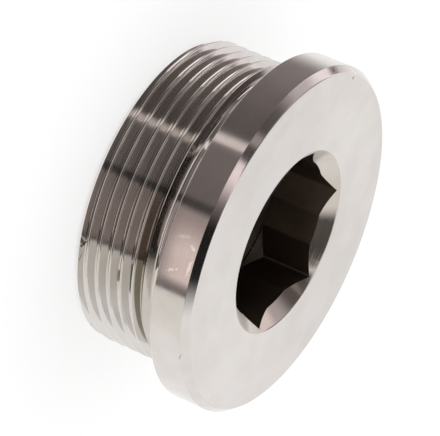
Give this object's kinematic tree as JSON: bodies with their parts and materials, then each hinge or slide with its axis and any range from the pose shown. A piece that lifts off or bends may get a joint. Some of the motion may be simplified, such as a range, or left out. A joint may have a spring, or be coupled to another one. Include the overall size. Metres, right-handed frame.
{
  "type": "hex socket plug",
  "caption": "Round sealing plug with an outer thread, an undercut neck, a wide chamfered collar and a countersunk hexagon socket in its front face.",
  "frame": {"origin": "centre of the flat thread end, the face that the plug stands on", "axes": "+Z along the plug's axis from the thread end to the front face; X through two corners of the hexagon"},
  "size_m": [0.055, 0.055, 0.0225],
  "materials": {
    "steel": "turned stainless steel: fine matt front face, satin collar, bright thread"
  },
  "bodies": {
    "root": {"plug": "steel"}
  },
  "joints": []
}
